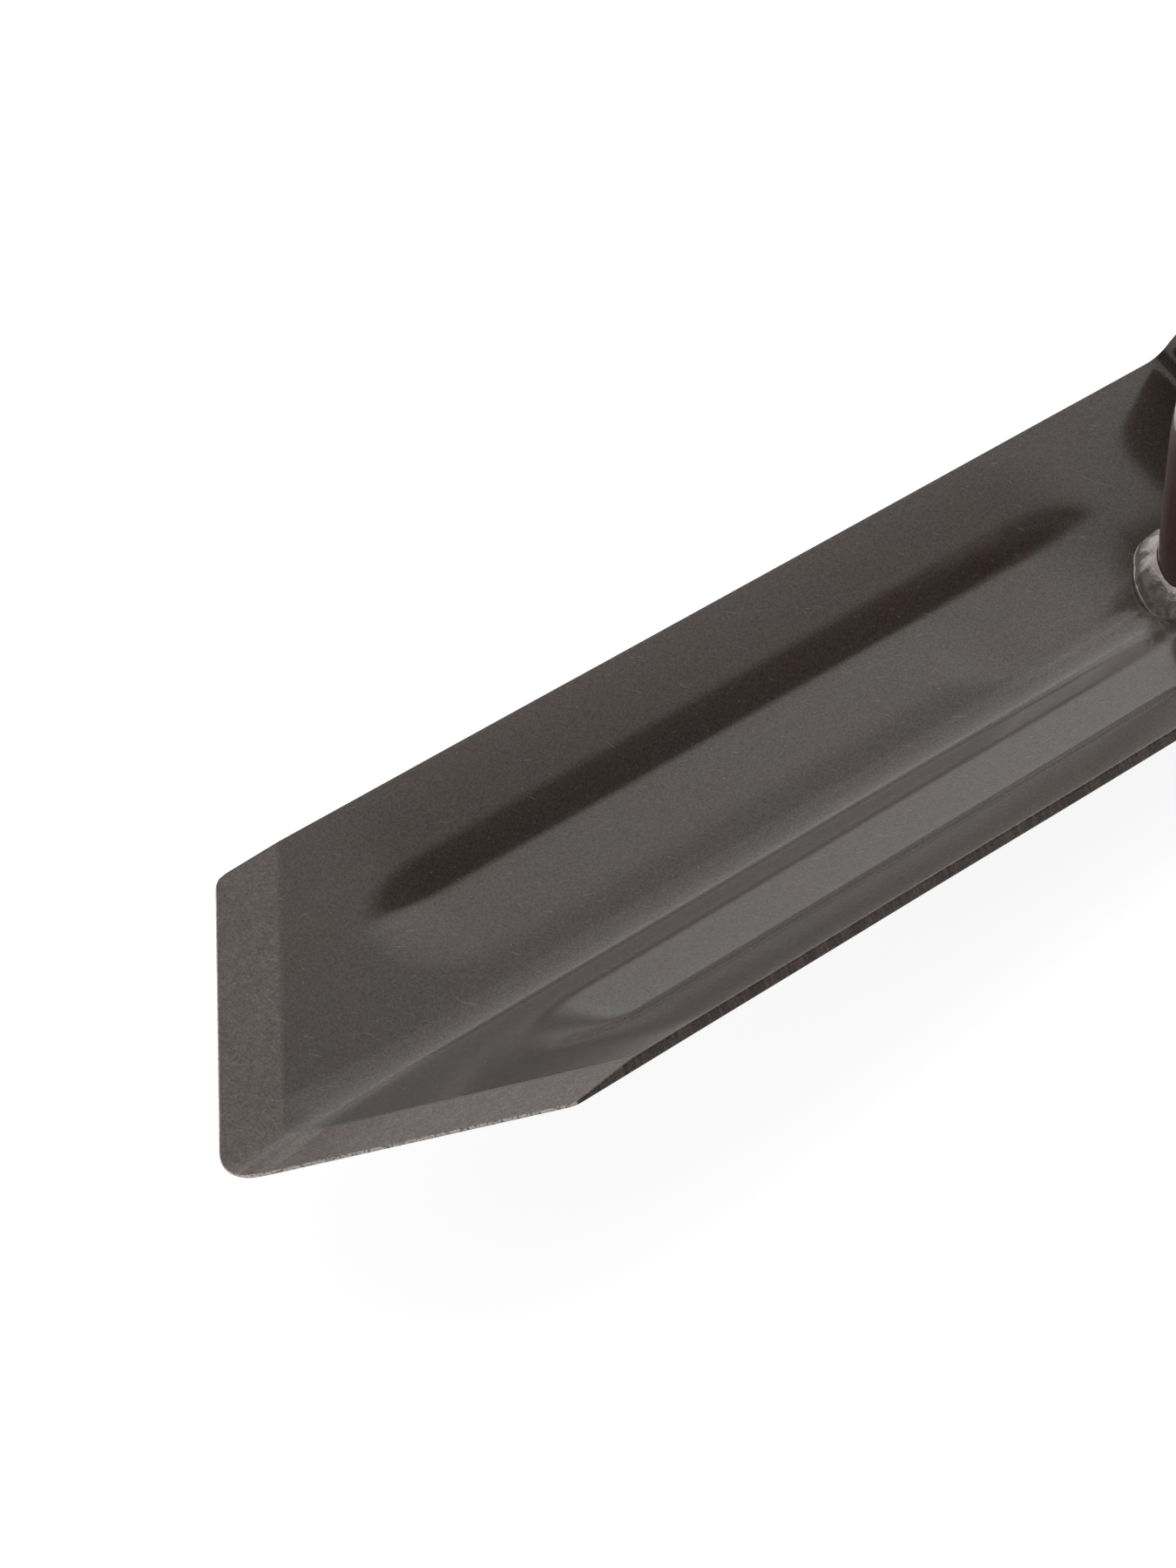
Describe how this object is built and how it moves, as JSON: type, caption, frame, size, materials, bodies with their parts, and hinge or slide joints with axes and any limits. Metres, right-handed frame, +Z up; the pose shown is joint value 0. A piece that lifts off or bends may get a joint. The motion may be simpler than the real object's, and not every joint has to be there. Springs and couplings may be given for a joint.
{
  "type": "trenching spade",
  "caption": "Narrow folded steel trenching blade with a flute pressed into each flange and turned-up foot treads, on a welded swan-neck tube, riveted socket, ash shaft and strapped hand grip.",
  "frame": {"origin": "on the ground under the middle of the spade's length, as it lies at rest on the heel of the blade and on the ears of the grip", "axes": "+X from the point of the blade towards the grip, level; +Z up, out of the hollow side of the blade; +Y to the left of someone looking along +X"},
  "size_m": [1.1428, 0.1398, 0.1113],
  "materials": {
    "blade_steel": "dark rolled sheet under clear lacquer, semi-gloss, ground bevel at the cutting edges",
    "tube_steel": "brown-black drawn tube under clear lacquer",
    "weld_steel": "bright rippled weld metal under clear lacquer",
    "socket_steel": "dark steel under clear lacquer",
    "rivet_steel": "plain steel, lightly brushed",
    "yoke_steel": "dark pressed steel under clear lacquer",
    "ash_wood": "straight-grained ash, sanded and oiled",
    "bar_wood": "turned ash, sanded and oiled"
  },
  "bodies": {
    "root": {"blade": "blade_steel", "neck_tube": "tube_steel", "neck_weld": "weld_steel", "socket": "socket_steel", "socket_weld": "weld_steel", "socket_rivet_front": "rivet_steel", "socket_rivet_rear": "rivet_steel", "shaft": "ash_wood", "yoke_left": "yoke_steel", "yoke_right": "yoke_steel", "yoke_rivet_front": "rivet_steel", "yoke_rivet_rear": "rivet_steel", "grip_bar": "bar_wood", "grip_rod": "rivet_steel", "grip_washer_left": "rivet_steel", "grip_washer_right": "rivet_steel"}
  },
  "joints": []
}
